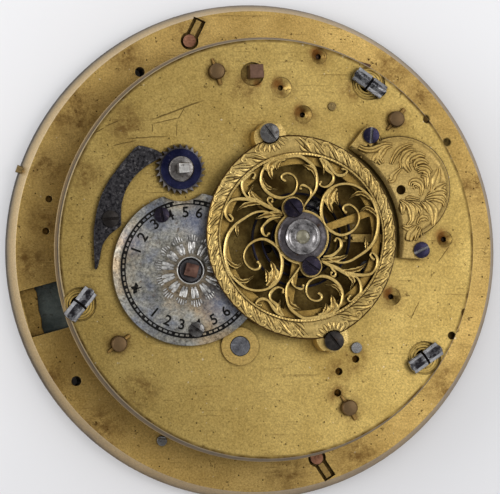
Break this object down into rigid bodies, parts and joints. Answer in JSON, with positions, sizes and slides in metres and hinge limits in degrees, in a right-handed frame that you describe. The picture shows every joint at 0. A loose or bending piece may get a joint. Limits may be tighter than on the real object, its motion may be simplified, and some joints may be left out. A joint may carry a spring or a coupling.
{
  "type": "pocket watch movement",
  "caption": "Round gilt fusee and verge pocket watch movement with pierced balance bridge, silvered regulator dial, set-up ratchet and repeating train.",
  "frame": {"origin": "on the movement's axis at the dial side of the pillar plate", "axes": "+Z from the dial side to the back, +Y towards the repeating train"},
  "size_m": [0.045, 0.045, 0.0137],
  "materials": {
    "gilt_brass": "worn gilt",
    "silvered_brass": "silvered",
    "copper": "dull",
    "stone": "polished",
    "blued_steel": "blued",
    "steel": "polished, worn"
  },
  "bodies": {
    "frame": {"pillar_plate": "gilt_brass", "pillars": "gilt_brass", "pillar_pins": "gilt_brass", "top_plate": "gilt_brass", "balance_bridge": "gilt_brass", "bridge_screws": "blued_steel", "end_plate": "steel", "end_stone": "stone", "end_plate_screws": "blued_steel", "regulator_dial": "silvered_brass", "regulator_dial_screws": "blued_steel", "slide_cover": "gilt_brass", "slide_cover_screws": "blued_steel", "potence": "gilt_brass", "potence_screw": "steel", "counter_potence": "gilt_brass", "counter_potence_screw": "steel", "fusee_bush": "gilt_brass", "click_screw": "steel", "spring_stud": "steel", "plate_pins": "steel", "recess_leaf": "blued_steel", "dial_foot_ends": "copper", "dial_foot_pins": "gilt_brass", "fusee_chain": "steel", "balance_spring": "blued_steel"},
    "contrate": {"contrate_wheel": "gilt_brass", "contrate_pinion": "steel"},
    "fusee": {"great_wheel": "gilt_brass", "fusee_cone": "gilt_brass", "fusee_arbor": "steel"},
    "barrel": {"barrel_drum": "gilt_brass", "barrel_cap": "gilt_brass", "mainspring": "blued_steel"},
    "setup": {"barrel_arbor": "steel", "setup_ratchet": "steel", "ratchet_cap": "blued_steel"},
    "click": {"click": "steel"},
    "centre": {"centre_wheel": "gilt_brass", "centre_pinion": "steel", "cannon_pinion": "steel"},
    "third": {"third_wheel": "gilt_brass", "third_pinion": "steel"},
    "crown": {"crown_wheel": "gilt_brass", "crown_pinion": "steel"},
    "minute": {"minute_wheel": "gilt_brass"},
    "hour": {"hour_wheel": "gilt_brass"},
    "balance": {"balance_wheel": "gilt_brass", "verge_staff": "steel", "spring_collet": "gilt_brass"},
    "regulator": {"regulator_arbor": "steel"},
    "rack": {"regulator_rack": "gilt_brass"},
    "key_1": {"key_screw_1": "steel"},
    "key_2": {"key_screw_2": "steel"},
    "key_3": {"key_screw_3": "steel"},
    "repeat_1": {"repeat_great_wheel": "gilt_brass"},
    "repeat_2": {"repeat_second_wheel": "gilt_brass"},
    "repeat_3": {"repeat_fly": "steel"},
    "hammer": {"hammer": "steel"},
    "lever": {"strike_lever": "steel"}
  },
  "joints": [
    {"name": "contrate_spin", "type": "hinge", "parent": "frame", "child": "contrate", "pos_m": [0.01124, -0.00422, 0], "axis": [0, 0, 1], "continuous": true, "deforming": ["fusee_chain"]},
    {"name": "third_spin", "type": "hinge", "parent": "frame", "child": "third", "pos_m": [0.00618, -0.00232, 0], "axis": [0, 0, 1], "continuous": true},
    {"name": "centre_spin", "type": "hinge", "parent": "frame", "child": "centre", "pos_m": [0, 0, 0], "axis": [0, 0, 1], "continuous": true},
    {"name": "fusee_spin", "type": "hinge", "parent": "frame", "child": "fusee", "pos_m": [-0.00253, -0.00867, 0], "axis": [0, 0, 1], "continuous": true},
    {"name": "barrel_spin", "type": "hinge", "parent": "frame", "child": "barrel", "pos_m": [-0.00793, 0.00701, 0], "axis": [0, 0, 1], "continuous": true},
    {"name": "crown_spin", "type": "hinge", "parent": "frame", "child": "crown", "pos_m": [0.00265, 0.00098, 0.0066], "axis": [0.8555, -0.5179, 0], "continuous": true},
    {"name": "minute_spin", "type": "hinge", "parent": "frame", "child": "minute", "pos_m": [0, 0.0044, 0], "axis": [0, 0, 1], "continuous": true},
    {"name": "hour_spin", "type": "hinge", "parent": "frame", "child": "hour", "pos_m": [0, 0, 0], "axis": [0, 0, 1], "continuous": true},
    {"name": "balance_swing", "type": "hinge", "parent": "frame", "child": "balance", "pos_m": [0.00265, 0.00098, 0], "axis": [0, 0, 1], "range_deg": [-100, 100], "stiffness_Nm_per_rad": 0.0000015, "deforming": ["balance_spring"]},
    {"name": "regulator_turn", "type": "hinge", "parent": "frame", "child": "regulator", "pos_m": [-0.0071, -0.00198, 0], "axis": [0, 0, 1], "range_deg": [-75, 75]},
    {"name": "rack_turn", "type": "hinge", "parent": "frame", "child": "rack", "pos_m": [0.00265, 0.00098, 0], "axis": [0, 0, 1], "range_deg": [-18, 18]},
    {"name": "setup_spin", "type": "hinge", "parent": "frame", "child": "setup", "pos_m": [-0.00793, 0.00701, 0], "axis": [0, 0, 1], "continuous": true},
    {"name": "click_lift", "type": "hinge", "parent": "frame", "child": "click", "pos_m": [-0.01419, 0.00256, 0], "axis": [0, 0, 1], "range_deg": [0, 8], "stiffness_Nm_per_rad": 0.00002, "springref_deg": -17.19},
    {"name": "key_1_turn", "type": "hinge", "parent": "frame", "child": "key_1", "pos_m": [0.00915, 0.01485, 0], "axis": [0, 0, 1], "range_deg": [-90, 90]},
    {"name": "key_2_turn", "type": "hinge", "parent": "frame", "child": "key_2", "pos_m": [-0.01685, -0.005, 0], "axis": [0, 0, 1], "range_deg": [-90, 90]},
    {"name": "key_3_turn", "type": "hinge", "parent": "frame", "child": "key_3", "pos_m": [0.0142, -0.0097, 0], "axis": [0, 0, 1], "range_deg": [-90, 90]},
    {"name": "repeat_1_spin", "type": "hinge", "parent": "frame", "child": "repeat_1", "pos_m": [-0.0012, 0.01575, 0], "axis": [0, 0, 1], "continuous": true},
    {"name": "repeat_2_spin", "type": "hinge", "parent": "frame", "child": "repeat_2", "pos_m": [0.00123, 0.01439, 0], "axis": [0, 0, 1], "continuous": true},
    {"name": "repeat_3_spin", "type": "hinge", "parent": "frame", "child": "repeat_3", "pos_m": [0.00321, 0.012, 0], "axis": [0, 0, 1], "continuous": true},
    {"name": "hammer_swing", "type": "hinge", "parent": "frame", "child": "hammer", "pos_m": [0.00466, 0.01722, 0], "axis": [0, 0, 1], "range_deg": [0, 12], "stiffness_Nm_per_rad": 0.00002, "springref_deg": -11.46},
    {"name": "lever_swing", "type": "hinge", "parent": "frame", "child": "lever", "pos_m": [0.01606, 0.00094, 0], "axis": [0, 0, 1], "range_deg": [-8, 8]}
  ],
  "couplings": [
    {"joint": "third_spin", "follows": "contrate_spin", "ratio": -0.11111},
    {"joint": "centre_spin", "follows": "contrate_spin", "ratio": 0.011111},
    {"joint": "fusee_spin", "follows": "contrate_spin", "ratio": -0.0020576},
    {"joint": "barrel_spin", "follows": "contrate_spin", "ratio": -0.0012842},
    {"joint": "crown_spin", "follows": "contrate_spin", "ratio": -8},
    {"joint": "minute_spin", "follows": "contrate_spin", "ratio": -0.0037037},
    {"joint": "hour_spin", "follows": "contrate_spin", "ratio": 0.00092593},
    {"joint": "rack_turn", "follows": "regulator_turn", "ratio": -0.22727},
    {"joint": "repeat_2_spin", "follows": "repeat_1_spin", "ratio": -3.3333},
    {"joint": "repeat_3_spin", "follows": "repeat_1_spin", "ratio": 6.6667}
  ]
}
